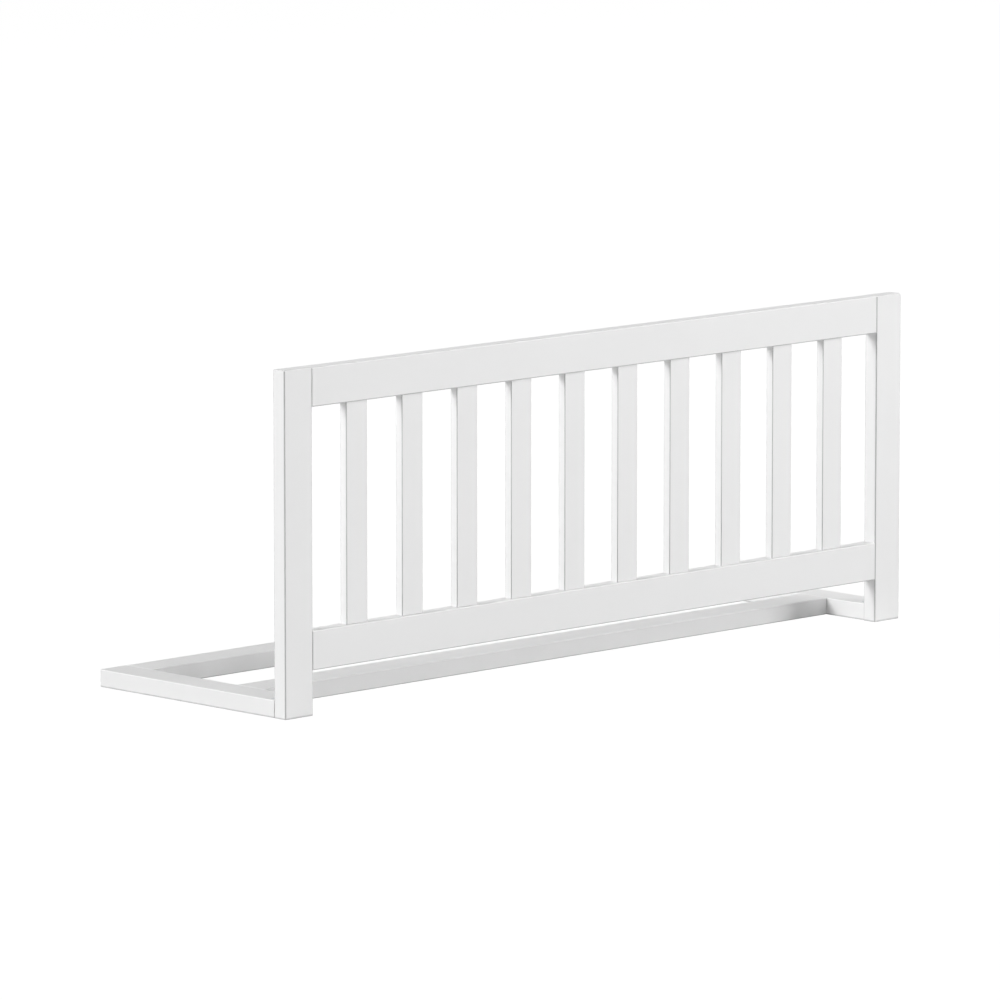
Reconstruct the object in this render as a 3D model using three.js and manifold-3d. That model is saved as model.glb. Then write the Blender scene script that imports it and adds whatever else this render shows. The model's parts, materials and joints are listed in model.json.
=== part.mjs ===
// Folding bed guard rail
//
// A slatted wooden guard stands along the front of a low wooden frame. The frame lies
// under the mattress, and the guard stands beside it. Two small butt hinges, let into
// the frame's arms and the guard's posts, let the guard fold inwards, flat onto the frame.
//
// Millimetres. X runs along the guard, Y from the guard's outer face to the back of the
// frame, and Z up. The origin lies on the floor, under the middle of the whole object.

import * as THREE from 'three';
import { mergeVertices } from 'three/addons/utils/BufferGeometryUtils.js';
import Module from 'manifold-3d';

const wasm = await Module();
wasm.setup();

// Whole object
const overallLength = 1200;
const overallHeight = 468;
const overallDepth = 368.5;

// Guard
const guardThickness = 22;
const postWidth = 50.5;
const topRailHeight = 53;
const bottomRailHeight = 53.5;
const bottomRailUnderside = 61;
const slatCount = 10;
const slatWidth = 38.5;
const slatThickness = 12.5;
const endGapShare = 1.035;

// Base frame
const baseThickness = 24.5;
const armWidth = 48.5;
const backRailWidth = 48.5;
const frontRailWidth = 51;
const frontRailSetback = 96;

// Rounded long edges of the boards and of the slats, and sawn ends that are only broken
const boardEdgeRadius = 1.5;
const boardEndRadius = 0.7;
const slatEdgeRadius = 1;

// Glued butt joints with two dowels in each rail end
const glueGap = 0.3;
const dowelRadius = 4;
const dowelLength = 35;
const dowelChamfer = 1;
const dowelSpread = 26;
const dowelClearance = 0.3;
const dowelEndRoom = 1;

// Slat tenons with round ends
const tenonDepth = 14;
const tenonSideShoulder = 5;
const tenonFaceShoulder = 3;
const tenonClearance = 0.3;
const tenonEndRoom = 1;

// Butt hinges
const hingeLength = 35;
const leafReach = 12.5;
const leafThickness = 1.5;
const pinRadius = 1.25;
const pinClearance = 0.2;
const knuckleCount = 5;
const knuckleGap = 0.3;
const rollSeam = 0.3;
const pinHeadRadius = 2;
const pinHeadThickness = 0.8;
const pinHeadRounding = 0.4;
const hingeClearance = 0.3;

// Countersunk screws, two in each hinge leaf
const screwLength = 16;
const screwShankRadius = 1.25;
const screwHeadRadius = 2.6;
const screwHeadDepth = 1.3;
const screwTipLength = 4;
const screwSpacing = 21;
const screwFromPin = 8;
const screwSink = 0.1;
const screwClearance = 0.3;
const pilotEndRoom = 1;

// Facets of round forms, and the overrun of every cut
const edgeSteps = 3;
const endSteps = 2;
const dowelSides = 12;
const tenonEndSteps = 6;
const knuckleSides = 20;
const rollSteps = 16;
const screwSides = 12;
const overrun = 2;

// Places that follow from the sizes
const guardFrontY = -overallDepth / 2;
const guardBackY = guardFrontY + guardThickness;
const guardMiddleY = guardFrontY + guardThickness / 2;
const baseBackY = overallDepth / 2;
const innerLength = overallLength - 2 * postWidth;
const guardRailLength = innerLength - 2 * glueGap;
const topRailMiddleZ = overallHeight - topRailHeight / 2;
const bottomRailMiddleZ = bottomRailUnderside + bottomRailHeight / 2;
const sightBottomZ = bottomRailUnderside + bottomRailHeight + glueGap;
const sightTopZ = overallHeight - topRailHeight - glueGap;
const postMiddleX = (overallLength - postWidth) / 2;
const armMiddleX = (overallLength - armWidth) / 2;
const armLength = baseBackY - guardBackY - glueGap;
const armMiddleY = baseBackY - armLength / 2;
const baseRailLength = overallLength - 2 * armWidth - 2 * glueGap;
const backRailMiddleY = baseBackY - backRailWidth / 2;
const frontRailMiddleY = guardFrontY + frontRailSetback + frontRailWidth / 2;
const baseMiddleZ = baseThickness / 2;

// Each leaf is a strip that is rolled round the pin, so the pin stands off the arm's top
// and the post's back by the radius of the roll's bore
const knuckleBoreRadius = pinRadius + pinClearance;
const knuckleRadius = knuckleBoreRadius + leafThickness;
const pinStandoff = knuckleBoreRadius;
const pinY = guardBackY + pinStandoff;
const pinZ = baseThickness + pinStandoff;

const sides = [
  { name: 'left', sign: -1 },
  { name: 'right', sign: 1 },
];

const at = (x, y, z) => new THREE.Vector3(x, y, z);

// Turns a section drawn in X and Y and drawn out along Z into one in Y and Z along X
const sectionToHinge = new THREE.Matrix4().makeBasis(at(0, 1, 0), at(0, 0, 1), at(1, 0, 0));

// A closed mesh as a solid that can be joined and cut
function toSolid(geometry) {
  const bare = geometry.clone();
  bare.deleteAttribute('normal');
  bare.deleteAttribute('uv');
  const welded = mergeVertices(bare);
  return new wasm.Manifold(new wasm.Mesh({
    numProp: 3,
    vertProperties: new Float32Array(welded.attributes.position.array),
    triVerts: new Uint32Array(welded.index.array),
  }));
}

function toGeometry(solid) {
  const mesh = solid.getMesh();
  const geometry = new THREE.BufferGeometry();
  geometry.setAttribute('position', new THREE.BufferAttribute(mesh.vertProperties, mesh.numProp));
  geometry.setIndex(new THREE.BufferAttribute(mesh.triVerts, 1));
  geometry.computeVertexNormals();
  return geometry;
}

function cutAll(blank, tools) {
  return tools.reduce((solid, tool) => solid.subtract(toSolid(tool)), toSolid(blank));
}

function joinAll(pieces) {
  return pieces.map(toSolid).reduce((whole, piece) => whole.add(piece));
}

function boxBetween(low, high) {
  const size = at(0, 0, 0).subVectors(high, low);
  const middle = at(0, 0, 0).addVectors(low, high).divideScalar(2);
  return new THREE.BoxGeometry(size.x, size.y, size.z).translate(middle.x, middle.y, middle.z);
}

function rodAlongX(radius, length, sideCount) {
  return new THREE.CylinderGeometry(radius, radius, length, sideCount).rotateZ(Math.PI / 2);
}

function rodAlongZ(radius, length, sideCount) {
  return new THREE.CylinderGeometry(radius, radius, length, sideCount).rotateX(Math.PI / 2);
}

function turned(points, sideCount) {
  const profile = points.map(([radius, height]) => new THREE.Vector2(radius, height));
  return new THREE.LatheGeometry(profile, sideCount);
}

// A rectangle with round corners, centred on the origin
function roundedOutline(width, height, radius, steps) {
  const halfWidth = width / 2 - radius;
  const halfHeight = height / 2 - radius;
  const corners = [[1, 1], [-1, 1], [-1, -1], [1, -1]];
  const points = corners.flatMap(([signX, signY], quarter) =>
    Array.from({ length: steps + 1 }, (_, step) => {
      const angle = (quarter + step / steps) * Math.PI / 2;
      return new THREE.Vector2(
        signX * halfWidth + radius * Math.cos(angle),
        signY * halfHeight + radius * Math.sin(angle),
      );
    }));
  return new THREE.Shape(points);
}

// A slot-shaped outline: straight sides and half-round ends
function slotOutline(width, height, steps) {
  const reach = (width - height) / 2;
  const ends = [1, -1];
  const points = ends.flatMap((sign) =>
    Array.from({ length: steps + 1 }, (_, step) => {
      const angle = (step / steps - 1 / 2) * Math.PI;
      return new THREE.Vector2(
        sign * (reach + height / 2 * Math.cos(angle)),
        sign * height / 2 * Math.sin(angle),
      );
    }));
  return new THREE.Shape(points);
}

// An outline drawn out along Z between two heights
function upright(outline, lowZ, highZ) {
  const settings = { depth: highZ - lowZ, bevelEnabled: false };
  return new THREE.ExtrudeGeometry(outline, settings).translate(0, 0, lowZ);
}

// A planed board along Z, centred on the origin: its long edges are rounded, and the edges
// of its sawn ends are only broken
function boardAlongZ(sizeX, sizeY, length) {
  const section = roundedOutline(sizeX, sizeY, boardEdgeRadius, edgeSteps);
  const depth = length - 2 * boardEndRadius;
  return new THREE.ExtrudeGeometry(section, {
    depth,
    bevelThickness: boardEndRadius,
    bevelSize: boardEndRadius,
    bevelOffset: -boardEndRadius,
    bevelSegments: endSteps,
  }).translate(0, 0, -depth / 2);
}

function boardAlongX(length, sizeY, sizeZ) {
  return boardAlongZ(sizeZ, sizeY, length).rotateY(Math.PI / 2);
}

function boardAlongY(sizeX, length, sizeZ) {
  return boardAlongZ(sizeX, sizeZ, length).rotateX(Math.PI / 2);
}

// Slats stand at equal gaps, and the gaps beside the posts are a little wider
const slatGap = (innerLength - slatCount * slatWidth) / (slatCount - 1 + 2 * endGapShare);
const slatPlaces = Array.from({ length: slatCount }, (_, index) =>
  (slatGap + slatWidth) * (index - (slatCount - 1) / 2));

// Each rail end holds two dowels and each leaf two screws, spread evenly about the middle
const dowelOffsets = [-dowelSpread / 2, dowelSpread / 2];
const screwOffsets = [-screwSpacing / 2, screwSpacing / 2];

// A bore for one dowel, with its mouth in the joint at the given point
function dowelBore(mouth) {
  const depth = dowelLength / 2 + dowelEndRoom;
  return rodAlongX(dowelRadius + dowelClearance, 2 * depth, dowelSides)
    .translate(mouth.x, mouth.y, mouth.z);
}

function dowelGeometry() {
  const half = dowelLength / 2;
  return turned([
    [0, -half],
    [dowelRadius - dowelChamfer, -half],
    [dowelRadius, -half + dowelChamfer],
    [dowelRadius, half - dowelChamfer],
    [dowelRadius - dowelChamfer, half],
    [0, half],
  ], dowelSides).rotateZ(-Math.PI / 2);
}

// Guard rails: boards between the posts, with a mortise for each slat in one edge
function mortise(place, edgeZ) {
  const width = slatWidth - 2 * tenonSideShoulder + 2 * tenonClearance;
  const height = slatThickness - 2 * tenonFaceShoulder + 2 * tenonClearance;
  const depth = tenonDepth + tenonEndRoom;
  const outline = slotOutline(width, height, tenonEndSteps);
  return upright(outline, edgeZ - depth, edgeZ + depth).translate(place, 0, 0);
}

function guardRail(railHeight, slattedEdgeSign) {
  const blank = boardAlongX(guardRailLength, guardThickness, railHeight);
  const mortises = slatPlaces.map((place) => mortise(place, slattedEdgeSign * railHeight / 2));
  const bores = sides.flatMap(({ sign }) =>
    dowelOffsets.map((offset) => dowelBore(at(sign * innerLength / 2, 0, offset))));
  return toGeometry(cutAll(blank, [...mortises, ...bores]));
}

// Slats: eased boards whose tenons have round ends
function slatGeometry() {
  const body = upright(
    roundedOutline(slatWidth, slatThickness, slatEdgeRadius, edgeSteps),
    sightBottomZ, sightTopZ);
  const tenonWidth = slatWidth - 2 * tenonSideShoulder;
  const tenonThickness = slatThickness - 2 * tenonFaceShoulder;
  const tenons = upright(
    slotOutline(tenonWidth, tenonThickness, tenonEndSteps),
    sightBottomZ - tenonDepth, sightTopZ + tenonDepth);
  return toGeometry(joinAll([body, tenons]));
}

// The section of a leaf, as (Y, Z) points in the hinge's frame: the pin lies on the origin,
// the plate reaches towards +Y under it, and the roll goes round it, from the bottom up the
// far side and down again until its end all but meets the plate
function rolledSection() {
  const startAngle = -Math.PI / 2;
  const endDrop = Math.asin((pinStandoff - rollSeam) / knuckleRadius);
  const sweep = 2 * Math.PI + endDrop + startAngle;
  const arc = (radius) => Array.from({ length: rollSteps + 1 }, (_, step) => {
    const angle = startAngle - sweep * step / rollSteps;
    return new THREE.Vector2(radius * Math.cos(angle), radius * Math.sin(angle));
  });
  return new THREE.Shape([
    new THREE.Vector2(leafReach, -knuckleRadius),
    ...arc(knuckleRadius),
    ...arc(knuckleBoreRadius).reverse(),
    new THREE.Vector2(leafReach, -knuckleBoreRadius),
  ]);
}

// One hinge leaf: the rolled strip, sawn out where the other leaf's knuckles go, with two
// countersunk holes. Its plate's outer face is level with the board that it is let into
function leafGeometry(ownsKnuckle) {
  const length = hingeLength - knuckleGap;
  const strip = new THREE.ExtrudeGeometry(rolledSection(), { depth: length, bevelEnabled: false })
    .translate(0, 0, -length / 2)
    .applyMatrix4(sectionToHinge);
  const pitch = hingeLength / knuckleCount;
  const notchHalf = (pitch + knuckleGap) / 2;
  const notchReach = knuckleRadius + hingeClearance;
  const notches = Array.from({ length: knuckleCount }, (_, index) => index)
    .filter((index) => !ownsKnuckle(index))
    .map((index) => {
      const middle = (index + 1 / 2) * pitch - hingeLength / 2;
      return boxBetween(
        at(middle - notchHalf, -notchReach, -notchReach),
        at(middle + notchHalf, notchReach, notchReach));
    });
  const holes = screwOffsets.map((offset) =>
    screwHole().translate(offset, screwFromPin, -pinStandoff));
  return toGeometry(cutAll(strip, [...notches, ...holes]));
}

// A countersunk hole through a leaf, with its mouth at the origin, facing +Z
function screwHole() {
  const holeRadius = screwShankRadius + screwClearance;
  const mouthRadius = screwHeadRadius + screwClearance;
  const coneDepth = screwHeadDepth + screwSink;
  return turned([
    [0, -leafThickness - overrun],
    [holeRadius, -leafThickness - overrun],
    [holeRadius, -coneDepth],
    [mouthRadius, 0],
    [mouthRadius, overrun],
    [0, overrun],
  ], screwSides).rotateX(Math.PI / 2);
}

function screwGeometry() {
  return turned([
    [0, -screwLength],
    [screwShankRadius, -screwLength + screwTipLength],
    [screwShankRadius, -screwHeadDepth],
    [screwHeadRadius, 0],
    [0, 0],
  ], screwSides).rotateX(Math.PI / 2);
}

// The pin, with a low rounded head riveted on each end
function pinGeometry() {
  const half = hingeLength / 2 + knuckleGap;
  const tip = half + pinHeadThickness;
  const shoulder = tip - pinHeadRounding;
  const crownRadius = pinHeadRadius - pinHeadRounding;
  return turned([
    [0, -tip],
    [crownRadius, -tip],
    [pinHeadRadius, -shoulder],
    [pinHeadRadius, -half],
    [pinRadius, -half],
    [pinRadius, half],
    [pinHeadRadius, half],
    [pinHeadRadius, shoulder],
    [crownRadius, tip],
    [0, tip],
  ], knuckleSides).rotateZ(-Math.PI / 2);
}

// What one leaf and the knuckles need out of the board that carries the leaf, in the
// hinge's frame: a shallow pocket, a round channel for the knuckles and two pilot bores
function hingeCuts() {
  const clearRadius = knuckleRadius + hingeClearance;
  const pocketHalf = hingeLength / 2 + hingeClearance;
  const channelHalf = hingeLength / 2 + knuckleGap + pinHeadThickness + hingeClearance;
  const pocket = boxBetween(
    at(-pocketHalf, 0, -clearRadius),
    at(pocketHalf, leafReach + hingeClearance, overrun));
  const channel = rodAlongX(clearRadius, 2 * channelHalf, knuckleSides);
  const pilotBottom = -pinStandoff - screwSink - screwLength - pilotEndRoom;
  const pilotRadius = screwShankRadius + screwClearance;
  const pilots = screwOffsets.map((offset) =>
    rodAlongZ(pilotRadius, -pilotBottom, screwSides)
      .translate(offset, screwFromPin, pilotBottom / 2));
  return [pocket, channel, ...pilots];
}

// Half a turn about the line between +Y and +Z swaps the two, so that a leaf that lies on
// an arm comes to stand against a post
const leafTurnAxis = at(0, 1, 1).normalize();
const leafTurn = new THREE.Matrix4().makeRotationAxis(leafTurnAxis, Math.PI);

function guardPost(sign) {
  const blank = boardAlongZ(postWidth, guardThickness, overallHeight);
  const bores = [topRailMiddleZ, bottomRailMiddleZ].flatMap((railZ) =>
    dowelOffsets.map((offset) =>
      dowelBore(at(-sign * postWidth / 2, 0, railZ + offset - overallHeight / 2))));
  const pin = at(sign * (armMiddleX - postMiddleX), pinY - guardMiddleY, pinZ - overallHeight / 2);
  const cuts = hingeCuts().map((cut) =>
    cut.applyMatrix4(leafTurn).translate(pin.x, pin.y, pin.z));
  return toGeometry(cutAll(blank, [...bores, ...cuts]));
}

function baseArm(sign) {
  const blank = boardAlongY(armWidth, armLength, baseThickness);
  const bores = [backRailMiddleY, frontRailMiddleY].flatMap((railY) =>
    dowelOffsets.map((offset) => dowelBore(at(-sign * armWidth / 2, railY + offset - armMiddleY, 0))));
  const pin = at(0, pinY - armMiddleY, pinZ - baseMiddleZ);
  const cuts = hingeCuts().map((cut) => cut.translate(pin.x, pin.y, pin.z));
  return toGeometry(cutAll(blank, [...bores, ...cuts]));
}

function baseRail(railWidth) {
  const blank = boardAlongX(baseRailLength, railWidth, baseThickness);
  const jointX = overallLength / 2 - armWidth;
  const bores = sides.flatMap(({ sign }) =>
    dowelOffsets.map((offset) => dowelBore(at(sign * jointX, offset, 0))));
  return toGeometry(cutAll(blank, bores));
}

const whiteLacquer = { color: 0xf1f1ef, roughness: 0.45, metalness: 0 };
const bareBeech = { color: 0xd8b98a, roughness: 0.7, metalness: 0 };
const zincPlatedSteel = { color: 0xb9bdc1, roughness: 0.35, metalness: 1 };

function addPart(group, name, geometry, finish, place) {
  const mesh = new THREE.Mesh(geometry, new THREE.MeshStandardMaterial(finish));
  mesh.name = name;
  mesh.position.copy(place);
  group.add(mesh);
  return mesh;
}

function addDowels(group, railName, sign, sideName, places) {
  const jointX = sign * places.jointX;
  places.ends.forEach(([endName, y, z]) => {
    addPart(group, `${railName}_dowel_${sideName}_${endName}`, dowelGeometry(), bareBeech, at(jointX, y, z));
  });
}

// Guard: posts, rails, slats and their dowels
const guard = new THREE.Group();
guard.position.y = guardMiddleY;
for (const { name, sign } of sides) {
  addPart(guard, `guard_post_${name}`, guardPost(sign), whiteLacquer,
    at(sign * postMiddleX, 0, overallHeight / 2));
}
addPart(guard, 'guard_top_rail', guardRail(topRailHeight, -1), whiteLacquer, at(0, 0, topRailMiddleZ));
addPart(guard, 'guard_bottom_rail', guardRail(bottomRailHeight, 1), whiteLacquer,
  at(0, 0, bottomRailMiddleZ));
slatPlaces.forEach((place, index) => {
  const number = String(index + 1).padStart(2, '0');
  addPart(guard, `guard_slat_${number}`, slatGeometry(), whiteLacquer, at(place, 0, 0));
});
for (const { name, sign } of sides) {
  for (const [railName, railZ] of [['top_rail', topRailMiddleZ], ['bottom_rail', bottomRailMiddleZ]]) {
    addDowels(guard, railName, sign, name, {
      jointX: innerLength / 2,
      ends: [['lower', 0, railZ + dowelOffsets[0]], ['upper', 0, railZ + dowelOffsets[1]]],
    });
  }
}

// Base frame: arms, rails and their dowels
const base = new THREE.Group();
base.position.z = baseMiddleZ;
for (const { name, sign } of sides) {
  addPart(base, `base_arm_${name}`, baseArm(sign), whiteLacquer, at(sign * armMiddleX, armMiddleY, 0));
}
addPart(base, 'base_back_rail', baseRail(backRailWidth), whiteLacquer, at(0, backRailMiddleY, 0));
addPart(base, 'base_front_rail', baseRail(frontRailWidth), whiteLacquer, at(0, frontRailMiddleY, 0));
for (const { name, sign } of sides) {
  for (const [railName, railY] of [['back_rail', backRailMiddleY], ['front_rail', frontRailMiddleY]]) {
    addDowels(base, railName, sign, name, {
      jointX: overallLength / 2 - armWidth,
      ends: [['near', railY + dowelOffsets[0], 0], ['far', railY + dowelOffsets[1], 0]],
    });
  }
}

// Hinges: each has a leaf on the arm, a leaf on the post, a pin and four screws
function hinge(name) {
  const group = new THREE.Group();
  const armSide = new THREE.Group();
  const postSide = new THREE.Group();
  postSide.quaternion.setFromAxisAngle(leafTurnAxis, Math.PI);
  group.add(armSide, postSide);
  addPart(armSide, `hinge_arm_leaf_${name}`, leafGeometry((index) => index % 2 === 0),
    zincPlatedSteel, at(0, 0, 0));
  addPart(postSide, `hinge_post_leaf_${name}`, leafGeometry((index) => index % 2 === 1),
    zincPlatedSteel, at(0, 0, 0));
  addPart(group, `hinge_pin_${name}`, pinGeometry(), zincPlatedSteel, at(0, 0, 0));
  const headZ = -pinStandoff - screwSink;
  for (const [side, sideName] of [[armSide, 'arm'], [postSide, 'post']]) {
    [['a', screwOffsets[0]], ['b', screwOffsets[1]]].forEach(([letter, x]) => {
      addPart(side, `hinge_${sideName}_screw_${name}_${letter}`, screwGeometry(), zincPlatedSteel,
        at(x, screwFromPin, headZ));
    });
  }
  return group;
}

const bedGuard = new THREE.Group();
bedGuard.add(guard, base);
for (const { name, sign } of sides) {
  const pair = hinge(name);
  pair.position.set(sign * armMiddleX, pinY, pinZ);
  bedGuard.add(pair);
}

export default bedGuard;
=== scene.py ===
# %% [markdown]
# # A folding bed guard rail in satin white lacquer
#
# The guard stands beside the mattress of a child's bed, so that a sleeper can't roll out. A flat
# wooden frame lies under the mattress, whose weight holds the guard upright, and two small butt
# hinges let the guard fold inwards, down onto that frame.
#
# The CAD model already fixes every size, place and joint. It is loaded first, and nothing in it
# is moved. What follows gives each piece the surface of the real one, and shapes the small steel
# and beech pieces more finely than the CAD model needs.

# %% The fixed frame
import json
import math

import bmesh
import bpy
from mathutils import Matrix, Vector

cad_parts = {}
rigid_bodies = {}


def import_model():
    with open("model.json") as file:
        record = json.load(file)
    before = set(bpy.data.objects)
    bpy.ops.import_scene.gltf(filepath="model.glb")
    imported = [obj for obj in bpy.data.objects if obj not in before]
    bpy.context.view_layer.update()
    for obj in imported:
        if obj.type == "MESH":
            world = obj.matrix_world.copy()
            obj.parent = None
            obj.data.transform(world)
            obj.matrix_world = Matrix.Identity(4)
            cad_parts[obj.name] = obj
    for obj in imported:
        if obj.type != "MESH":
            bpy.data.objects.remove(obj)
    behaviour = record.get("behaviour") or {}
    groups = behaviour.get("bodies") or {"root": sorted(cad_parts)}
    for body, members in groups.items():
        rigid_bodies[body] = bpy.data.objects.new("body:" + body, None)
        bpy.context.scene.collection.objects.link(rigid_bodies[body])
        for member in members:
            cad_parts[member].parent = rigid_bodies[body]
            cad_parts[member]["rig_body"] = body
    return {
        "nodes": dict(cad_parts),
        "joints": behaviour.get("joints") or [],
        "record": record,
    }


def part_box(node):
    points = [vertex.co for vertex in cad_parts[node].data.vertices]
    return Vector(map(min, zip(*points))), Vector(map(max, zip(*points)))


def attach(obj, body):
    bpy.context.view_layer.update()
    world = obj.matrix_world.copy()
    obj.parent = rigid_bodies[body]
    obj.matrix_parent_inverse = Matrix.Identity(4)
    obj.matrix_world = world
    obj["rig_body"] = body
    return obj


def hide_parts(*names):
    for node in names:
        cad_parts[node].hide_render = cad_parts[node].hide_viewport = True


MM = 0.001
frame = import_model()
scene = bpy.context.scene
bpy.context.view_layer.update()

# %% [markdown]
# ## The camera
#
# The photograph looks at the guard from its left end, from far away through a long lens, so that
# upright edges stay almost parallel. The place and the focal length were found by fitting a camera
# to the edges of the boards. This camera is tilted down, which makes uprights converge, and the
# photograph's converge less. So the posts' edges are up to two pixels off at their ends. A shorter
# lens from nearby would frame the guard too, but its boards would taper.

# %% A long lens, eleven metres away
CAMERA_PLACE = (-7.9797, -8.0775, 1.8993)
CAMERA_TURN = -44.5846
CAMERA_TILT = 8.4432
FOCAL_LENGTH = 297.186
SENSOR_WIDTH = 36

camera_data = bpy.data.cameras.new("photo_camera")
camera_data.lens = FOCAL_LENGTH
camera_data.sensor_width = SENSOR_WIDTH
camera = bpy.data.objects.new("photo_camera", camera_data)
camera.location = CAMERA_PLACE
camera.rotation_euler = (math.radians(90 - CAMERA_TILT), 0, math.radians(CAMERA_TURN))
scene.collection.objects.link(camera)
scene.camera = camera
print("camera is", round(camera.location.length, 2), "m from the guard")

# %% [markdown]
# ## Three helpers for every finish
#
# Colours are written as they look on a screen, in hex, and a shader wants linear light, so one
# function turns the one into the other. A second function adds any node to a node tree, sets
# its settings, and fills or links its sockets, so that a finish reads as a list. A third starts
# a material and hands over its shader.

# %% Colours and nodes
def linear(hex_colour):
    channels = [int(hex_colour[start:start + 2], 16) / 255 for start in (1, 3, 5)]
    low = [channel / 12.92 for channel in channels]
    high = [((channel + 0.055) / 1.055) ** 2.4 for channel in channels]
    return [a if c <= 0.04045 else b for a, b, c in zip(low, high, channels)] + [1.0]


def add_node(owner, kind, sockets=None, **settings):
    node = owner.node_tree.nodes.new(kind)
    for setting, value in settings.items():
        setattr(node, setting, value)
    for socket, value in (sockets or {}).items():
        if isinstance(value, bpy.types.NodeSocket):
            owner.node_tree.links.new(value, node.inputs[socket])
        else:
            node.inputs[socket].default_value = value
    return node


def new_finish(name):
    material = bpy.data.materials.new(name)
    material.use_nodes = True
    return material, material.node_tree.nodes["Principled BSDF"]


print("a mid grey on the screen is", round(linear("#808080")[0], 3), "in linear light")

# %% [markdown]
# ## Satin white lacquer
#
# The boards are sanded, filled and sprayed with a two-part white lacquer. That gives the eye an
# even, slightly soft white with a broad, dim sheen. Close up, the sprayed film has a fine orange
# peel, and the grain of the wood still telegraphs through it along each board.
#
# The rounded edges carry painted light and shade. The upright and the lower long edges are painted
# a grey that stands in for the shade that falls on them. The upper edges are painted a whiter
# white, as a painted highlight. The rounded edges at the ends of the boards keep the plain white.
# Each board carries this as a value on its faces. The value is the share of painted shade, or -1
# for the painted highlight.
# The grain runs along X, Y or Z with the board, so the same finish is made once for each way. The
# feet of the posts and the arms, along Z and Y, stand on the floor. There they get painted shade,
# as a painted contact shadow. It lies in patches, most round the rim and no higher than a few
# millimetres. The sole between the rims gets less of it.

# %% Orange peel over telegraphed grain
PEEL_SIZE = 2.4 * MM
PEEL_DEPTH = 0.006 * MM
GRAIN_WIDTH = 1.6 * MM
GRAIN_LENGTH = 70 * MM
GRAIN_DEPTH = 0.005 * MM


def sprayed_relief(material, place, grain_axis):
    grain_scale = [1 / GRAIN_WIDTH] * 3
    grain_scale[grain_axis] = 1 / GRAIN_LENGTH
    run = add_node(material, "ShaderNodeMapping", {"Vector": place, "Scale": grain_scale})
    grain = add_node(material, "ShaderNodeTexNoise",
                     {"Vector": run.outputs["Vector"], "Scale": 1.0, "Detail": 3.0})
    peel = add_node(material, "ShaderNodeTexNoise",
                    {"Vector": place, "Scale": 1 / PEEL_SIZE, "Detail": 1.0})
    grain_relief = add_node(material, "ShaderNodeMath",
                            {0: grain.outputs["Fac"], 1: GRAIN_DEPTH}, operation="MULTIPLY")
    relief = add_node(material, "ShaderNodeMath",
                      {0: peel.outputs["Fac"], 1: PEEL_DEPTH, 2: grain_relief.outputs[0]},
                      operation="MULTIPLY_ADD")
    bump = add_node(material, "ShaderNodeBump", {"Height": relief.outputs[0], "Distance": 1.0})
    return bump.outputs["Normal"]


print("orange peel every", round(PEEL_SIZE / MM, 1), "mm, and grain every",
      round(GRAIN_WIDTH / MM, 1), "mm")

# %% Painted contact shade on the rims that meet the floor
FOOT_SHADE_HEIGHT = 3 * MM
FOOT_SHADE_SHARE = 0.8
FOOT_SHADE_BLOTCH_SIZE = 9 * MM
FOOT_SHADE_PATCHES = (0.8, 1.2)
SOLE_SHARE = 0.25
SOLE_FACING = -1.0
RIM_FACING = -0.95
NOISE_LOW = 0.3
NOISE_HIGH = 0.7


# Painted shade near the floor: a share of the grey on the downward rims, in noise patches, fading
# out a few millimetres up.
def painted_floor_shade(material, place):
    height = add_node(material, "ShaderNodeSeparateXYZ", {"Vector": place}).outputs["Z"]
    facing = add_node(material, "ShaderNodeTexCoord").outputs["Normal"]
    upwards = add_node(material, "ShaderNodeSeparateXYZ", {"Vector": facing}).outputs["Z"]
    rim = add_node(material, "ShaderNodeMapRange",
                   {"Value": upwards, "From Min": SOLE_FACING, "From Max": RIM_FACING,
                    "To Min": SOLE_SHARE, "To Max": 1.0})
    near_floor = add_node(material, "ShaderNodeMapRange",
                          {"Value": height, "From Min": 0.0, "From Max": FOOT_SHADE_HEIGHT,
                           "To Min": FOOT_SHADE_SHARE, "To Max": 0.0})
    shade_blotches = add_node(material, "ShaderNodeTexNoise",
                   {"Vector": place, "Scale": 1 / FOOT_SHADE_BLOTCH_SIZE, "Detail": 2.0})
    patches = add_node(material, "ShaderNodeMapRange",
                       {"Value": shade_blotches.outputs["Fac"], "From Min": NOISE_LOW,
                        "From Max": NOISE_HIGH, "To Min": FOOT_SHADE_PATCHES[0],
                        "To Max": FOOT_SHADE_PATCHES[1]})
    patchy_rim = add_node(material, "ShaderNodeMath",
                          {0: rim.outputs["Result"], 1: patches.outputs["Result"]},
                          operation="MULTIPLY")
    foot_shade = add_node(material, "ShaderNodeMath",
                      {0: near_floor.outputs["Result"], 1: patchy_rim.outputs[0]},
                      operation="MULTIPLY")
    return foot_shade.outputs[0]


print("scuffs reach", round(FOOT_SHADE_HEIGHT / MM, 1), "mm above the floor")

# %% Painted highlight on the upper edges, painted shade on the others
LACQUER_WHITE = "#f4f4f4"
LACQUER_SHADE = "#f1f1f1"
# This grey is painted shade, on the upright and lower edges and on the feet near the floor. The
# near-white below it is a painted highlight on the upper edges.
PAINTED_SHADE_GREY = "#a9a9a9"
PAINTED_HIGHLIGHT_WHITE = "#fefefe"


# Mixes the lacquer's random tone with painted light: grey painted shade on the marked edges and
# near the floor, and the painted highlight on the upward edges.
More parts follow.
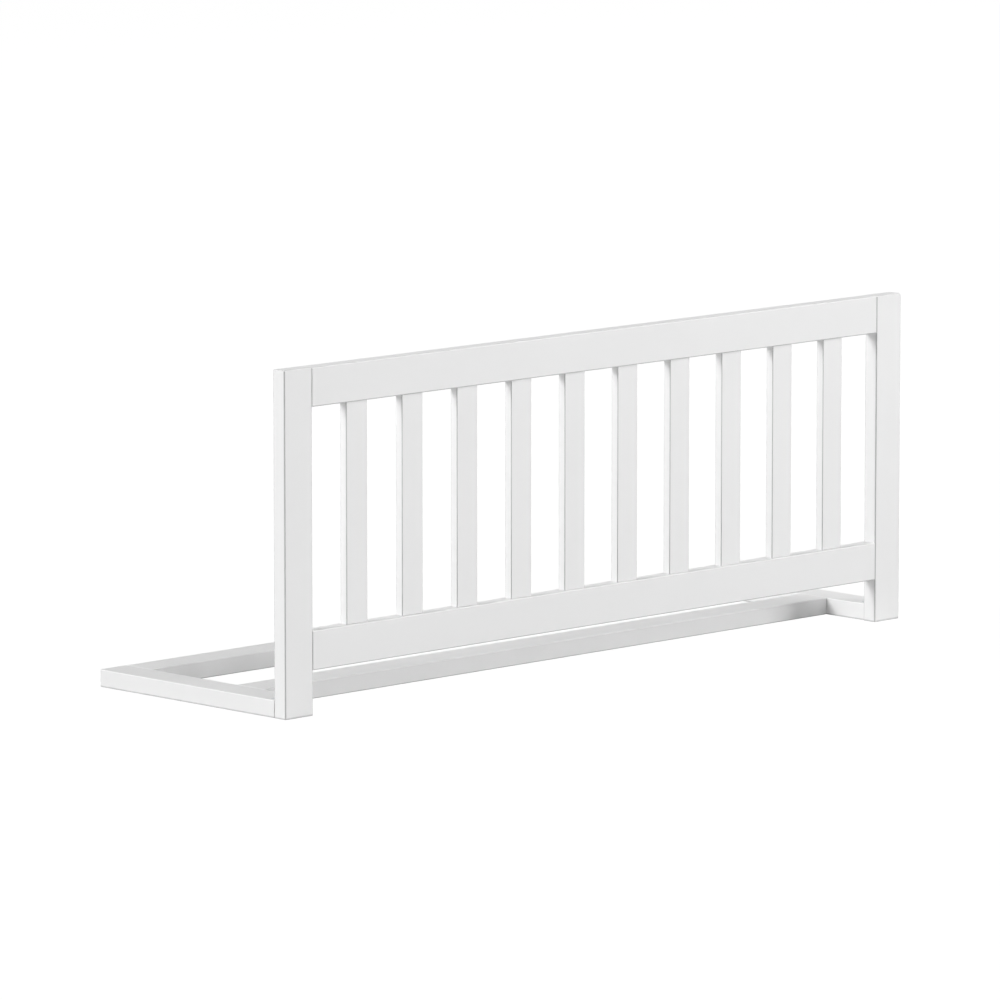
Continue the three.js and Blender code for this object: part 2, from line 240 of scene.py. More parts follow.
def lacquer_and_painted_light(material, place, clouds, meets_floor):
    film = add_node(material, "ShaderNodeMix",
                    {0: clouds, 6: linear(LACQUER_WHITE), 7: linear(LACQUER_SHADE)},
                    data_type="RGBA")
    painted_edge_light = add_node(material, "ShaderNodeAttribute", attribute_name="painted_edge_light")
    painted_shade_share = painted_edge_light.outputs["Fac"]
    if meets_floor:
        painted_shade_share = add_node(material, "ShaderNodeMath",
                                {0: painted_shade_share, 1: painted_floor_shade(material, place)},
                                operation="MAXIMUM").outputs[0]
    shaded = add_node(material, "ShaderNodeMix",
                    {0: painted_shade_share, 6: film.outputs[2], 7: linear(PAINTED_SHADE_GREY)},
                    data_type="RGBA")
    highlight_share = add_node(material, "ShaderNodeMath",
                          {0: painted_edge_light.outputs["Fac"], 1: -1.0}, operation="MULTIPLY")
    highlighted = add_node(material, "ShaderNodeMix",
                    {0: highlight_share.outputs[0], 6: shaded.outputs[2], 7: linear(PAINTED_HIGHLIGHT_WHITE)},
                    data_type="RGBA")
    return highlighted.outputs[2]


print("lacquer reflects", round(linear(LACQUER_WHITE)[0], 2), "and painted_shade",
      round(linear(PAINTED_SHADE_GREY)[0], 2), "of the light")

# %% One finish for each way of the grain
LACQUER_IOR = 1.5
SHEEN_ROUGHNESS = (0.36, 0.44)
CLOUD_SIZE = 140 * MM


def satin_lacquer(name, grain_axis):
    material, shader = new_finish(name)
    place = add_node(material, "ShaderNodeTexCoord").outputs["Object"]
    cloud = add_node(material, "ShaderNodeTexNoise",
                     {"Vector": place, "Scale": 1 / CLOUD_SIZE, "Detail": 2.0})
    clouds = cloud.outputs["Fac"]
    sheen = add_node(material, "ShaderNodeMapRange",
                     {"Value": clouds, "From Min": NOISE_LOW, "From Max": NOISE_HIGH,
                      "To Min": SHEEN_ROUGHNESS[0], "To Max": SHEEN_ROUGHNESS[1]})
    colour = lacquer_and_painted_light(material, place, clouds, meets_floor=grain_axis > 0)
    links = material.node_tree.links
    links.new(colour, shader.inputs["Base Color"])
    links.new(sheen.outputs["Result"], shader.inputs["Roughness"])
    links.new(sprayed_relief(material, place, grain_axis), shader.inputs["Normal"])
    shader.inputs["IOR"].default_value = LACQUER_IOR
    return material


lacquer_along = [satin_lacquer("satin_lacquer_grain_" + axis, index)
                 for index, axis in enumerate("xyz")]
print("lacquer for boards along", [material.name for material in lacquer_along])

# %% [markdown]
# ## The lacquered boards
#
# Four boards make the frame under the mattress, and two posts, two rails and ten slats make the
# guard. Their shapes, with rounded edges, dowel bores, mortises, tenons and hinge pockets, are
# right in the CAD model already, but its mesh is a heap of loose triangles. Each board is
# therefore a copy of it, with the corners merged and the triangles of each flat face dissolved
# into one face.
#
# A rounded edge has only three facets. Smooth shading alone would also bend the light on the
# flat faces beside it, so a Weighted Normal modifier lets the large faces decide: the flats stay
# flat and the edges look round, with no more faces.

# %% Merge, dissolve and mark the edges
SAME_POINT = 0.001 * MM
FLAT_ANGLE = math.radians(0.5)
SQUARE_ON = 0.9995
# Upward edge faces get the painted highlight, and the other long edge faces get a share of painted
# shade. End edges get neither.
UPWARD = 0.2
ENDWAYS = 0.05
EDGE_HIGHLIGHT = -1.0
EDGE_SHADE = 0.65


def clean_copy(node):
    shape = bmesh.new()
    shape.from_mesh(frame["nodes"][node].data)
    bmesh.ops.remove_doubles(shape, verts=shape.verts, dist=SAME_POINT)
    bmesh.ops.dissolve_limit(shape, angle_limit=FLAT_ANGLE, use_dissolve_boundaries=False,
                             verts=shape.verts, edges=shape.edges, delimit=set())
    return shape


# Marks the painted highlight and the painted shade on the rounded-edge faces.
def mark_painted_edge_light(shape, grain_axis):
    painted_edge_light = shape.faces.layers.float.new("painted_edge_light")
    for face in shape.faces:
        if max(abs(part) for part in face.normal) > SQUARE_ON:
            continue
        if face.normal.z > UPWARD:
            face[painted_edge_light] = EDGE_HIGHLIGHT
        elif abs(face.normal[grain_axis]) < ENDWAYS:
            face[painted_edge_light] = EDGE_SHADE


def finish_piece(name, shape, node, material):
    for face in shape.faces:
        face.smooth = True
    data = bpy.data.meshes.new(name)
    shape.to_mesh(data)
    shape.free()
    data.materials.append(material)
    piece = bpy.data.objects.new(name, data)
    scene.collection.objects.link(piece)
    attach(piece, frame["nodes"][node]["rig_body"])
    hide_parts(node)
    return piece


print("a flat face is square on within", round(math.degrees(math.acos(SQUARE_ON)), 1), "degrees")

# %% All eighteen boards
LARGE_FACES_DECIDE = 100


def lacquered_board(node):
    low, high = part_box(node)
    size = high - low
    grain_axis = max(range(3), key=lambda axis: size[axis])
    shape = clean_copy(node)
    mark_painted_edge_light(shape, grain_axis)
    board = finish_piece("lacquered_" + node, shape, node,
                         lacquer_along[grain_axis])
    weighting = board.modifiers.new("flat_faces_stay_flat", "WEIGHTED_NORMAL")
    weighting.mode = "FACE_AREA"
    weighting.weight = LARGE_FACES_DECIDE
    return board


slot_of = {part["node"]: part["material_slot"] for part in frame["record"]["subparts"]}
boards = [lacquered_board(node) for node in sorted(slot_of)
          if slot_of[node] == "white_lacquered_wood"]
print(len(boards), "boards with", sum(len(board.data.polygons) for board in boards), "faces")

# %% [markdown]
# ## Bare beech
#
# The dowels are cut from turned beech rod and are never lacquered, because glue has to soak in.
# Beech is pale and slightly pink, with fine streaks along the rod and many short, darker rays.
# Its surface is matt, and the glue that it carries into the bore is dry and doesn't show.

# %% Streaks and rays along the rod
BEECH_PALE = "#ddbf95"
BEECH_STREAK = "#c9a273"
BEECH_RAY = "#a97c50"
STREAK_WIDTH = 0.7 * MM
STREAK_LENGTH = 18 * MM
RAY_WIDTH = 0.25 * MM
RAY_LENGTH = 2.5 * MM
RAY_START = 0.62
RAY_FULL = 0.7
RAY_SHARE = 0.7
STREAK_RELIEF = 0.03 * MM
BEECH_ROUGHNESS = 0.68


def bare_beech(name):
    material, shader = new_finish(name)
    place = add_node(material, "ShaderNodeTexCoord").outputs["Object"]
    streak_run = add_node(
        material, "ShaderNodeMapping",
        {"Vector": place, "Scale": (1 / STREAK_LENGTH, 1 / STREAK_WIDTH, 1 / STREAK_WIDTH)})
    streaks = add_node(material, "ShaderNodeTexNoise",
                       {"Vector": streak_run.outputs["Vector"], "Scale": 1.0, "Detail": 4.0})
    ray_run = add_node(
        material, "ShaderNodeMapping",
        {"Vector": place, "Scale": (1 / RAY_LENGTH, 1 / RAY_WIDTH, 1 / RAY_WIDTH)})
    rays = add_node(material, "ShaderNodeTexNoise",
                    {"Vector": ray_run.outputs["Vector"], "Scale": 1.0, "Detail": 0.0})
    ray_share = add_node(material, "ShaderNodeMapRange",
                         {"Value": rays.outputs["Fac"], "From Min": RAY_START,
                          "From Max": RAY_FULL, "To Min": 0.0, "To Max": RAY_SHARE})
    wood = add_node(material, "ShaderNodeMix",
                    {0: streaks.outputs["Fac"], 6: linear(BEECH_PALE), 7: linear(BEECH_STREAK)},
                    data_type="RGBA")
    colour = add_node(material, "ShaderNodeMix",
                      {0: ray_share.outputs["Result"], 6: wood.outputs[2], 7: linear(BEECH_RAY)},
                      data_type="RGBA")
    bump = add_node(material, "ShaderNodeBump",
                    {"Height": streaks.outputs["Fac"], "Distance": STREAK_RELIEF})
    material.node_tree.links.new(colour.outputs[2], shader.inputs["Base Color"])
    material.node_tree.links.new(bump.outputs["Normal"], shader.inputs["Normal"])
    shader.inputs["Roughness"].default_value = BEECH_ROUGHNESS
    return material


beech = bare_beech("bare_beech_rod")
print("beech dowels are", beech.name)

# %% [markdown]
# ## Fluted dowels
#
# Sixteen dowels hold the butt joints. A real dowel is fluted, so that air and spare glue can
# leave the bore, and its ends are chamfered, so that it finds the bore. A Displace modifier
# could press flutes into a cylinder. Here every other corner of the round section is drawn in a
# little before the section is pushed out into a rod, which gives clean flutes from the start.

# %% One dowel along X, then all sixteen
FLUTES = 18
FLUTE_DEPTH = 0.25 * MM
DOWEL_CHAMFER = 1 * MM


def fluted_dowel(low, high):
    radius = (high.z - low.z) / 2
    length = high.x - low.x
    shape = bmesh.new()
    bmesh.ops.create_circle(shape, cap_ends=True, segments=2 * FLUTES, radius=radius,
                            matrix=Matrix.Rotation(math.radians(90), 4, "Y"))
    shape.verts.ensure_lookup_table()
    hollow = 1 - FLUTE_DEPTH / radius
    bmesh.ops.scale(shape, vec=(1, hollow, hollow), verts=shape.verts[:][::2])
    bmesh.ops.translate(shape, vec=(DOWEL_CHAMFER - length / 2, 0, 0), verts=shape.verts)
    rod = bmesh.ops.extrude_face_region(shape, geom=shape.faces[:])
    far = [part for part in rod["geom"] if isinstance(part, bmesh.types.BMVert)]
    bmesh.ops.translate(shape, vec=(length - 2 * DOWEL_CHAMFER, 0, 0), verts=far)
    bmesh.ops.recalc_face_normals(shape, faces=shape.faces)
    for end in [face for face in shape.faces if len(face.verts) == 2 * FLUTES]:
        bmesh.ops.inset_region(shape, faces=[end], thickness=DOWEL_CHAMFER,
                               depth=DOWEL_CHAMFER, use_even_offset=True)
    bmesh.ops.translate(shape, vec=(low + high) / 2, verts=shape.verts)
    return shape


for node in sorted(slot_of):
    if slot_of[node] == "beech_dowel":
        dowel = finish_piece("fluted_" + node, fluted_dowel(*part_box(node)), node,
                             beech)
print("dowels with", len(dowel.data.polygons), "faces each")

# %% [markdown]
# ## Bright zinc on steel
#
# Hinges, pins and screws are pressed and turned from mild steel and then zinc-plated. Fresh
# plating is a cool, bright grey with a slightly cloudy shine, because the zinc grows in patches,
# and fine rolling marks of the strip stay visible under it. Metallic is 1, and the roughness
# changes softly from patch to patch.

# %% Cloudy plating over rolled strip
ZINC_BRIGHT = "#cdd0d2"
ZINC_CLOUD = "#b7bcc0"
ZINC_ROUGHNESS = (0.24, 0.4)
ZINC_PATCH = 3 * MM
ROLLING_MARK = 0.35 * MM
ROLLING_LENGTH = 9 * MM
ROLLING_DEPTH = 0.004 * MM


def zinc_plating(name):
    material, shader = new_finish(name)
    place = add_node(material, "ShaderNodeTexCoord").outputs["Object"]
    patches = add_node(material, "ShaderNodeTexNoise",
                       {"Vector": place, "Scale": 1 / ZINC_PATCH, "Detail": 2.0})
    mark_run = add_node(
        material, "ShaderNodeMapping",
        {"Vector": place, "Scale": (1 / ROLLING_LENGTH, 1 / ROLLING_MARK, 1 / ROLLING_MARK)})
    marks = add_node(material, "ShaderNodeTexNoise",
                     {"Vector": mark_run.outputs["Vector"], "Scale": 1.0, "Detail": 2.0})
    colour = add_node(material, "ShaderNodeMix",
                      {0: patches.outputs["Fac"], 6: linear(ZINC_BRIGHT), 7: linear(ZINC_CLOUD)},
                      data_type="RGBA")
    shine = add_node(material, "ShaderNodeMapRange",
                     {"Value": patches.outputs["Fac"], "From Min": NOISE_LOW,
                      "From Max": NOISE_HIGH, "To Min": ZINC_ROUGHNESS[0],
                      "To Max": ZINC_ROUGHNESS[1]})
    bump = add_node(material, "ShaderNodeBump",
                    {"Height": marks.outputs["Fac"], "Distance": ROLLING_DEPTH})
    links = material.node_tree.links
    links.new(colour.outputs[2], shader.inputs["Base Color"])
    links.new(shine.outputs["Result"], shader.inputs["Roughness"])
    links.new(bump.outputs["Normal"], shader.inputs["Normal"])
    shader.inputs["Metallic"].default_value = 1.0
    return material


zinc = zinc_plating("bright_zinc_on_steel")
print("hinges, pins and screws are", zinc.name)

# %% [markdown]
# ## Rolled hinge leaves
#
# A butt hinge leaf starts as flat strip. It is cut out with tongues along one edge, pierced and
# countersunk for two screws, and then its tongues are rolled round a rod to make the knuckles.
# The same order works here. A grid is the blank, its unused tongues are deleted, the screw holes
# are filled round, the sheet is extruded to its thickness, and one spin rolls the tongues. A
# knuckle made from a tube would look alike from afar, but it would lack the seam where the
# rolled end comes back to the plate.
#
# Pressed parts are tumbled before they are plated, which breaks their sharp edges. A Bevel
# modifier does that last, on the corners that are sharper than a set angle.
#
# Each leaf is made round its own pin: X along the pin, Y along the plate, Z away from the board.

# %% The sizes of the strip and the roll
KNUCKLES = 5
HINGE_LENGTH = 35 * MM
KNUCKLE_GAP = 0.3 * MM
LEAF_REACH = 12.5 * MM
LEAF_THICKNESS = 1.5 * MM
BORE_RADIUS = 1.45 * MM
ROLL_RADIUS = BORE_RADIUS + LEAF_THICKNESS
ROLL_SEAM = 0.3 * MM
NOTCH_REACH = ROLL_RADIUS + 0.3 * MM
ROLL_STEPS = 32
HOLE_MOUTH = 2.9 * MM
HOLE_RADIUS = 1.55 * MM
HOLE_STEPS = 32
HOLE_SPACING = 21 * MM
HOLE_ROW = 8 * MM
HOLE_PLACES = [Vector((side * HOLE_SPACING / 2, HOLE_ROW, 0)) for side in (-1, 1)]
roll_angle = 1.5 * math.pi + math.asin((BORE_RADIUS - ROLL_SEAM) / ROLL_RADIUS)
print("each tongue is rolled through", round(math.degrees(roll_angle)), "degrees")


# %% The flat blank with its tongues
def leaf_blank(shape, own_knuckles):
    pitch = HINGE_LENGTH / KNUCKLES
    half_gap = KNUCKLE_GAP / 2
    joints = [knuckle * pitch - HINGE_LENGTH / 2 for knuckle in range(KNUCKLES + 1)]
    columns = [joint + side * half_gap for joint in joints for side in (-1, 1)][1:-1]
    rows = [0, NOTCH_REACH, LEAF_REACH]
    bmesh.ops.create_grid(shape, x_segments=len(columns) - 1, y_segments=2, size=0.5)
    for vertex in shape.verts:
        column = round((vertex.co.x + 0.5) * (len(columns) - 1))
        row = round((vertex.co.y + 0.5) * 2)
        vertex.co = (columns[column], rows[row], -BORE_RADIUS)
    middles = [(knuckle + 0.5) * pitch - HINGE_LENGTH / 2 for knuckle in own_knuckles]
    tongues = [face for face in shape.faces if face.calc_center_median().y < NOTCH_REACH]
    spare = [face for face in tongues
             if min(abs(face.calc_center_median().x - middle) for middle in middles) > half_gap]
    bmesh.ops.delete(shape, geom=spare, context="FACES")


print("a knuckle every", round(HINGE_LENGTH / KNUCKLES / MM, 1), "mm along the pin")

# %% Pierce the plate for two screws
def pierce(shape):
    plate = [face for face in shape.faces if face.calc_center_median().y > NOTCH_REACH]
    whole = bmesh.ops.dissolve_faces(shape, faces=plate, use_verts=False)["region"]
    rim = [edge for face in whole for edge in face.edges]
    bmesh.ops.delete(shape, geom=whole, context="FACES_ONLY")
    for place in HOLE_PLACES:
        circle = bmesh.ops.create_circle(
            shape, cap_ends=False, segments=HOLE_STEPS, radius=HOLE_MOUTH,
            matrix=Matrix.Translation(place - Vector((0, 0, BORE_RADIUS))))
        rim += list({edge for vertex in circle["verts"] for edge in vertex.link_edges})
    bmesh.ops.triangle_fill(shape, use_beauty=True, use_dissolve=False, edges=rim, normal=(0, 0, 1))


print("screw holes", round(HOLE_SPACING / MM), "mm apart")

# %% Thicken, countersink and roll
def rolled_leaf(own_knuckles):
    shape = bmesh.new()
    leaf_blank(shape, own_knuckles)
    pierce(shape)
    grown = bmesh.ops.extrude_face_region(shape, geom=shape.faces[:])
    under = [part for part in grown["geom"] if isinstance(part, bmesh.types.BMVert)]
    bmesh.ops.translate(shape, vec=(0, 0, -LEAF_THICKNESS), verts=under)
    for place in HOLE_PLACES:
        rim = [vertex for vertex in under
               if abs((vertex.co - place).xy.length - HOLE_MOUTH) < SAME_POINT]
        narrower = HOLE_RADIUS / HOLE_MOUTH
        bmesh.ops.scale(shape, vec=(narrower, narrower, 1), verts=rim,
                        space=Matrix.Translation(-place))
    tips = [face for face in shape.faces if max(abs(v.co.y) for v in face.verts) < SAME_POINT]
    swept = tips + [part for tip in tips for part in [*tip.edges, *tip.verts]]
    bmesh.ops.spin(shape, geom=swept, cent=(0, 0, 0), axis=(1, 0, 0), angle=-roll_angle,
                   steps=ROLL_STEPS, use_merge=False, use_duplicate=False)
    bmesh.ops.recalc_face_normals(shape, faces=shape.faces)
    return shape


trial_leaf = rolled_leaf((0, 2, 4))
print("a leaf with three knuckles has", len(trial_leaf.faces), "faces")
trial_leaf.free()

# %% Broken edges
SHARP_CORNER = math.radians(35)
BREAK_STEPS = 2


def break_edges(piece, width):
    edges = piece.modifiers.new("broken_edges", "BEVEL")
    edges.width = width
    edges.segments = BREAK_STEPS
    edges.limit_method = "ANGLE"
    edges.angle_limit = SHARP_CORNER
    edges.harden_normals = True


print("edges are broken where they turn by more than", round(math.degrees(SHARP_CORNER)), "degrees")

# %% Four leaves in their pockets
LEAF_EDGE = 0.12 * MM
PIN_LINE = Vector(frame["joints"][0]["pos_m"])
TURN_TO_POST = Matrix.Rotation(math.pi, 4, Vector((0, 1, 1)).normalized())


def hinge_place(side, onto_post):
    low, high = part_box("hinge_pin_" + side)
    place = Matrix.Translation(((low.x + high.x) / 2, PIN_LINE.y, PIN_LINE.z))
    return place @ TURN_TO_POST if onto_post else place


def farthest_from_node(piece, node):
    low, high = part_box(node)
    corners = [Vector(corner) for corner in piece.bound_box]
    gaps = [abs(min(c[axis] for c in corners) - low[axis]) for axis in range(3)]
    gaps += [abs(max(c[axis] for c in corners) - high[axis]) for axis in range(3)]
    return round(max(gaps) / MM, 3)


for side in ("left", "right"):
    for board, own_knuckles in (("arm", (0, 2, 4)), ("post", (1, 3))):
        leaf_shape = rolled_leaf(own_knuckles)
        leaf_shape.transform(hinge_place(side, board == "post"))
        node = f"hinge_{board}_leaf_{side}"
        leaf = finish_piece("rolled_" + node, leaf_shape, node, zinc)
        break_edges(leaf, LEAF_EDGE)
        print(node, "differs from the CAD box by", farthest_from_node(leaf, node), "mm")

# %% [markdown]
# ## Riveted pins
#
# The pin is a length of steel wire. Its ends stand a little proud of the knuckles and are
# peened over into low domes, so that it can't wander out. A pin is round all along, so its half
# outline is drawn once and spun about its axis.

# %% Half an outline, spun round
PIN_RADIUS = 1.25 * MM
PIN_EDGE = 0.08 * MM
DOME_RADIUS = 2 * MM
DOME_STEPS = 5
ROUND_STEPS = 40


def spun(outline, axis):
    shape = bmesh.new()
    corners = [shape.verts.new(point) for point in outline]
    edges = [shape.edges.new(pair) for pair in zip(corners, corners[1:])]
    bmesh.ops.spin(shape, geom=corners + edges, cent=(0, 0, 0), axis=axis,
                   angle=2 * math.pi, steps=ROUND_STEPS, use_merge=True, use_duplicate=False)
    bmesh.ops.remove_doubles(shape, verts=shape.verts, dist=SAME_POINT)
    bmesh.ops.recalc_face_normals(shape, faces=shape.faces)
    return shape


def riveted_pin(low, high):
    tip = (high.x - low.x) / 2
    shoulder = HINGE_LENGTH / 2 + KNUCKLE_GAP
    dome = tip - shoulder
    angles = [step / DOME_STEPS * math.pi / 2 for step in range(DOME_STEPS + 1)]
    crown = [(shoulder + dome * math.cos(angle), 0, DOME_RADIUS * math.sin(angle))
             for angle in angles]
    half = crown + [(shoulder, 0, PIN_RADIUS)]
    return spun(half + [(-x, y, z) for x, y, z in reversed(half)], (1, 0, 0))


for side in ("left", "right"):
    node = "hinge_pin_" + side
    pin_shape = riveted_pin(*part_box(node))
    pin_shape.transform(hinge_place(side, False))
    pin = finish_piece("riveted_" + node, pin_shape, node, zinc)
    break_edges(pin, PIN_EDGE)
    print(node, "differs from the CAD box by", farthest_from_node(pin, node), "mm")

# %% [markdown]
# ## Countersunk wood screws
#
# Eight small screws hold the leaves. Each has a flat countersunk head with a cross recess, and a
# thread that runs to a point. The body is spun from its outline, and the thread is a small
# three-sided ridge that is spun too, but moves down the axis as it turns. The recess is pressed
# in by two crossed wedges with Boolean modifiers, which are applied straight away. A real hand
# leaves every cross at another angle, so each screw has its own turn.

# %% The body and its thread
SCREW_LENGTH = 16 * MM
HEAD_RADIUS = 2.6 * MM
HEAD_DEPTH = 1.3 * MM
HEAD_RIM = 0.12 * MM
THREAD_RADIUS = 1.25 * MM
CORE_RADIUS = 0.9 * MM
THREAD_PITCH = 1.1 * MM
TIP_LENGTH = 4 * MM
TIP_SHARE = 0.08
STEPS_IN_A_TURN = 16


def screw_body():
    return spun([
        (0, 0, 0), (HEAD_RADIUS - HEAD_RIM, 0, 0), (HEAD_RADIUS, 0, -HEAD_RIM),
        (THREAD_RADIUS, 0, -HEAD_DEPTH), (CORE_RADIUS, 0, -HEAD_DEPTH - THREAD_PITCH),
        (CORE_RADIUS, 0, TIP_LENGTH - SCREW_LENGTH), (0, 0, -SCREW_LENGTH)], (0, 0, 1))


def add_thread(shape):
    top = -HEAD_DEPTH - THREAD_PITCH
    turns = (SCREW_LENGTH + top - THREAD_PITCH) / THREAD_PITCH
    root = CORE_RADIUS - HEAD_RIM
    ridge = [shape.verts.new(point) for point in
             [(root, 0, top), (THREAD_RADIUS, 0, top - THREAD_PITCH / 3),
              (root, 0, top - 2 * THREAD_PITCH / 3)]]
    start = shape.faces.new(ridge)
    steps = round(turns * STEPS_IN_A_TURN)
    before = set(shape.verts) - set(ridge)
    bmesh.ops.spin(shape, geom=[start, *start.edges, *ridge], cent=(0, 0, 0), axis=(0, 0, 1),
                   angle=turns * 2 * math.pi, dvec=(0, 0, -turns * THREAD_PITCH / steps),
                   steps=steps, use_merge=False, use_duplicate=False)
    tip_top = TIP_LENGTH - SCREW_LENGTH
    for vertex in set(shape.verts) - before:
        if vertex.co.z < tip_top:
            taper = max(TIP_SHARE, (vertex.co.z + SCREW_LENGTH) / TIP_LENGTH)
            vertex.co.x *= taper
            vertex.co.y *= taper
    bmesh.ops.recalc_face_normals(shape, faces=shape.faces)


print("screws are", round(SCREW_LENGTH / MM), "mm long, with a thread every",
      round(THREAD_PITCH / MM, 1), "mm")

# %% Press the cross recess
WING_LENGTH = 2.9 * MM
WING_WIDTH = 0.6 * MM
WING_FOOT = (0.35, 0.7, 1)
RECESS_DEPTH = 0.95 * MM


def wing(turn):
    shape = bmesh.new()
    bmesh.ops.create_cube(shape, size=1)
    bmesh.ops.scale(shape, vec=(WING_LENGTH, WING_WIDTH, 2 * RECESS_DEPTH), verts=shape.verts)
    foot = [vertex for vertex in shape.verts if vertex.co.z < 0]
    bmesh.ops.scale(shape, vec=WING_FOOT, verts=foot)
    bmesh.ops.rotate(shape, cent=(0, 0, 0), matrix=Matrix.Rotation(turn, 3, "Z"),
                     verts=shape.verts)
    return shape


def pressed(shape, dies):
    """Cuts each die out of the shape with a Boolean modifier and gives the cut mesh."""
    helpers = []
    for part in [shape, *dies]:
        data = bpy.data.meshes.new("pressing")
        part.to_mesh(data)
        part.free()
        helpers.append(bpy.data.objects.new("pressing", data))
        scene.collection.objects.link(helpers[-1])
    for die in helpers[1:]:
        cut = helpers[0].modifiers.new("recess", "BOOLEAN")
        cut.operation = "DIFFERENCE"
        cut.solver = "EXACT"
        cut.object = die
    bpy.context.view_layer.update()
    evaluated = helpers[0].evaluated_get(bpy.context.evaluated_depsgraph_get())
    result = bmesh.new()
    result.from_mesh(evaluated.to_mesh())
    evaluated.to_mesh_clear()
    for helper in helpers:
        bpy.data.objects.remove(helper)
    return result


print("the cross recess is", round(RECESS_DEPTH / MM, 2), "mm deep")

# %% Eight screws, each turned its own way
SCREW_TURNS = {"arm_left_a": 12, "arm_left_b": 57, "arm_right_a": 33, "arm_right_b": 81,
               "post_left_a": 68, "post_left_b": 21, "post_right_a": 5, "post_right_b": 44}
SCREW_SINK = 0.1 * MM
SCREW_EDGE = 0.05 * MM
body = pressed(screw_body(), [wing(0), wing(math.pi / 2)])
add_thread(body)
screw_mesh = bpy.data.meshes.new("wood_screw")
body.to_mesh(screw_mesh)
body.free()

for name, degrees in SCREW_TURNS.items():
    board, side, letter = name.split("_")
    node = f"hinge_{board}_screw_{side}_{letter}"
    hole = HOLE_PLACES["ab".index(letter)]
    head = Matrix.Translation(hole - Vector((0, 0, BORE_RADIUS + SCREW_SINK)))
    screw_shape = bmesh.new()
    screw_shape.from_mesh(screw_mesh)
    screw_shape.transform(hinge_place(side, board == "post") @ head
                          @ Matrix.Rotation(math.radians(degrees), 4, "Z"))
    screw = finish_piece("driven_" + node, screw_shape, node, zinc)
    break_edges(screw, SCREW_EDGE)
    print(node, "differs from the CAD box by", farthest_from_node(screw, node), "mm")
bpy.data.meshes.remove(screw_mesh)

# %% [markdown]
# ## A white floor and an even studio
#
# The photograph has no visible floor: the guard stands on pure white, with only a breath of
# shadow under it. A floor that is simply lit would have to be far too bright for that. So the
# floor and the world are white to the camera and in reflections, and dim to the light that
# falls on the wood. A small share of the floor's own shading is kept, so that it still shows a
# faint shadow. Its glow is a little over 1, so that it comes out white with that share mixed in.

# %% The world
SKY_LIGHT = 0.0


def seen_or_mirrored(owner):
    ray = add_node(owner, "ShaderNodeLightPath")
    mirrored = add_node(owner, "ShaderNodeMath",
                        {0: ray.outputs["Is Glossy Ray"], 1: ray.outputs["Is Transmission Ray"]},
                        operation="MAXIMUM")
    seen = add_node(owner, "ShaderNodeMath",
                    {0: ray.outputs["Is Camera Ray"], 1: mirrored.outputs[0]},
                    operation="MAXIMUM")
    return seen.outputs[0]


world = bpy.data.worlds.new("studio")
world.use_nodes = True
scene.world = world
strength = add_node(world, "ShaderNodeMapRange",
                    {"Value": seen_or_mirrored(world), "To Min": SKY_LIGHT, "To Max": 1.0})
background = world.node_tree.nodes["Background"]
background.inputs["Color"].default_value = linear("#ffffff")
world.node_tree.links.new(strength.outputs["Result"], background.inputs["Strength"])
print("sky light on the wood:", SKY_LIGHT)

# %% The floor
FLOOR_RADIUS = 60.0
FLOOR_STEPS = 64
FLOOR_WHITE = "#e9e9e9"
FLOOR_GLOW = 1.08
FLOOR_SHADING_SHARE = 0.1

floor_shape = bmesh.new()
bmesh.ops.create_circle(floor_shape, cap_ends=True, segments=FLOOR_STEPS, radius=FLOOR_RADIUS)
floor_mesh = bpy.data.meshes.new("studio_floor")
floor_shape.to_mesh(floor_mesh)
floor_shape.free()
floor = bpy.data.objects.new("studio_floor", floor_mesh)
scene.collection.objects.link(floor)

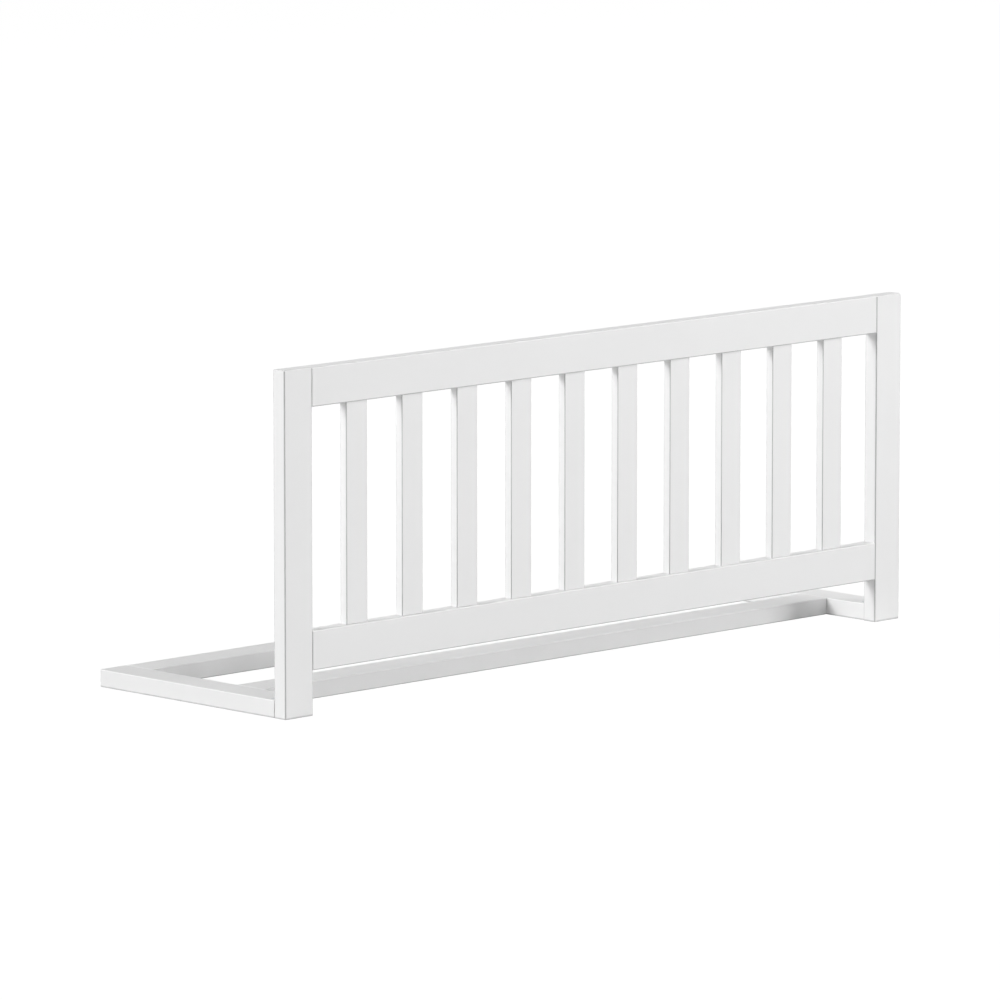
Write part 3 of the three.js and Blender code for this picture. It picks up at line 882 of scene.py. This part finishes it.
paper, paper_shader = new_finish("white_studio_paper")
paper.node_tree.nodes.remove(paper_shader)
glow = add_node(paper, "ShaderNodeEmission",
                {"Color": linear("#ffffff"), "Strength": FLOOR_GLOW})
shading = add_node(paper, "ShaderNodeBsdfDiffuse", {"Color": linear(FLOOR_WHITE)})
glow_share = add_node(paper, "ShaderNodeMath",
                      {0: seen_or_mirrored(paper), 1: 1 - FLOOR_SHADING_SHARE},
                      operation="MULTIPLY")
blend = add_node(paper, "ShaderNodeMixShader",
                 {0: glow_share.outputs[0], 1: shading.outputs[0], 2: glow.outputs[0]})
paper.node_tree.links.new(blend.outputs[0],
                          paper.node_tree.nodes["Material Output"].inputs["Surface"])
floor_mesh.materials.append(paper)
print("floor to", FLOOR_RADIUS, "m")

# %% [markdown]
# ## Soft lamps
#
# The left sides of the boards are the brightest, the fronts come next and the tops last. Each
# slat has a soft shadow under the top rail on its left side, so the main light stands to the
# left, a little behind the guard and fairly high. The right post shades the end of the inner
# rail, so another light is low, on the right in front. Both ends of the guard are lit alike, so
# the lamps are far away, and their great size keeps them soft. Each lamp was tried alone, and
# its power was then chosen so that together they give the levels of the photograph. The last
# lamp is behind the guard and only lights its back, which the photograph doesn't show.
#
# From behind, the low lamp would mirror in the tops of the frame as a white glare. A larger
# lamp would spread that glare and blur the post's shadow too. So that lamp is hidden from glossy
# rays instead, and lights the boards without a reflection of its own.

# %% Area lamps that face the guard
LAMPS = {
    "window_left_behind": ((-16.94, 6.84, 8.36), 8.0, 2950.0),
    "panel_front_right": ((5.1, -7.3, 6.5), 6.0, 415.0),
    "panel_right_low": ((7.7, -7.7, 1.7), 3.9, 500.0),
    "panel_front_left": ((-3.5, -6.0, 4.2), 4.0, 75.0),
    "panel_right": ((10.63, 0.93, 2.88), 5.0, 372.0),
    "panel_behind": ((-1.0, 10.0, 2.0), 5.0, 110.0),
}
HIDDEN_FROM_GLARE = {"panel_right_low"}
AIM = Vector((0.0, 0.0, 0.22))

for lamp_name, (place, width, watts) in LAMPS.items():
    lamp_data = bpy.data.lights.new(lamp_name, "AREA")
    lamp_data.shape = "SQUARE"
    lamp_data.size = width
    lamp_data.energy = watts
    lamp = bpy.data.objects.new(lamp_name, lamp_data)
    lamp.location = place
    lamp.rotation_euler = (AIM - Vector(place)).to_track_quat("-Z", "Y").to_euler()
    lamp.visible_camera = False
    lamp.visible_glossy = lamp_name not in HIDDEN_FROM_GLARE
    scene.collection.objects.link(lamp)
print("lamps:", sorted(LAMPS))

# %% [markdown]
# ## The view transform
#
# The view transform is Standard, so that colours come out as they are written. The dressed
# model has to stay inside the CAD model's box.

# %% View transform
scene.view_settings.view_transform = "Standard"
